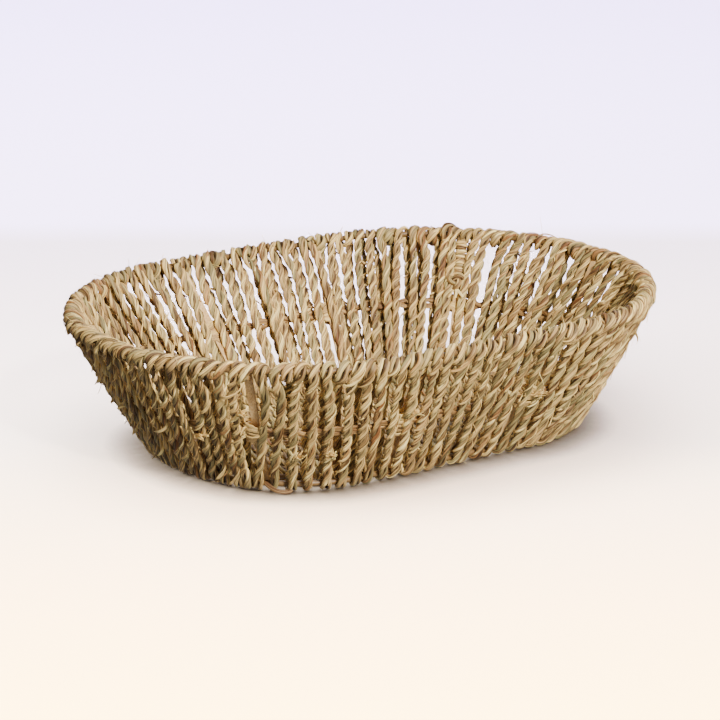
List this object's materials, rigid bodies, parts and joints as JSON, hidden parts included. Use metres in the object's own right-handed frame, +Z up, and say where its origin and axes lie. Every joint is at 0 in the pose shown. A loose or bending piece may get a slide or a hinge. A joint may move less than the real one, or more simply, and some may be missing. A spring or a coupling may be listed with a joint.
{
  "type": "bread basket",
  "caption": "Oval open basket with walls that lean outwards, of natural grass rope wound round cane hoops and flat cane stakes.",
  "frame": {"origin": "middle of the footprint, on the surface that the basket stands on", "axes": "+X along the basket's length, +Y across it, +Z up"},
  "size_m": [0.3702, 0.2704, 0.0883],
  "materials": {
    "rope": "matt twisted dried grass",
    "cane": "smooth split cane",
    "twine": "matt twisted dried grass",
    "leaf": "flattened dried leaf, slight sheen",
    "strand": "matt twisted dried grass"
  },
  "bodies": {
    "root": {"base_hoop": "cane", "binding_knot": "strand", "floor_end_wraps": "rope", "floor_hoop": "cane", "floor_lashings": "strand", "floor_rib_1": "cane", "floor_rib_2": "cane", "floor_rib_3": "cane", "floor_rib_4": "cane", "floor_rib_5": "cane", "floor_rope": "rope", "rim_hoop": "cane", "rim_wraps": "rope", "stake_01": "cane", "stake_02": "cane", "stake_03": "cane", "stake_04": "cane", "stake_05": "cane", "stake_06": "cane", "stake_07": "cane", "stake_08": "cane", "stake_09": "cane", "stake_10": "cane", "stake_binding": "strand", "tie_01": "leaf", "tie_02": "leaf", "tie_03": "leaf", "tie_04": "leaf", "tie_05": "leaf", "tie_06": "leaf", "tie_07": "leaf", "tie_08": "leaf", "tie_09": "leaf", "tie_10": "leaf", "twine_lower": "twine", "twine_upper": "twine", "wall_rope_01": "rope", "wall_rope_02": "rope", "wall_rope_03": "rope", "wall_rope_04": "rope", "wall_rope_05": "rope", "wall_rope_06": "rope", "wall_rope_07": "rope", "wall_rope_08": "rope", "wall_rope_09": "rope", "wall_rope_10": "rope"}
  },
  "joints": []
}
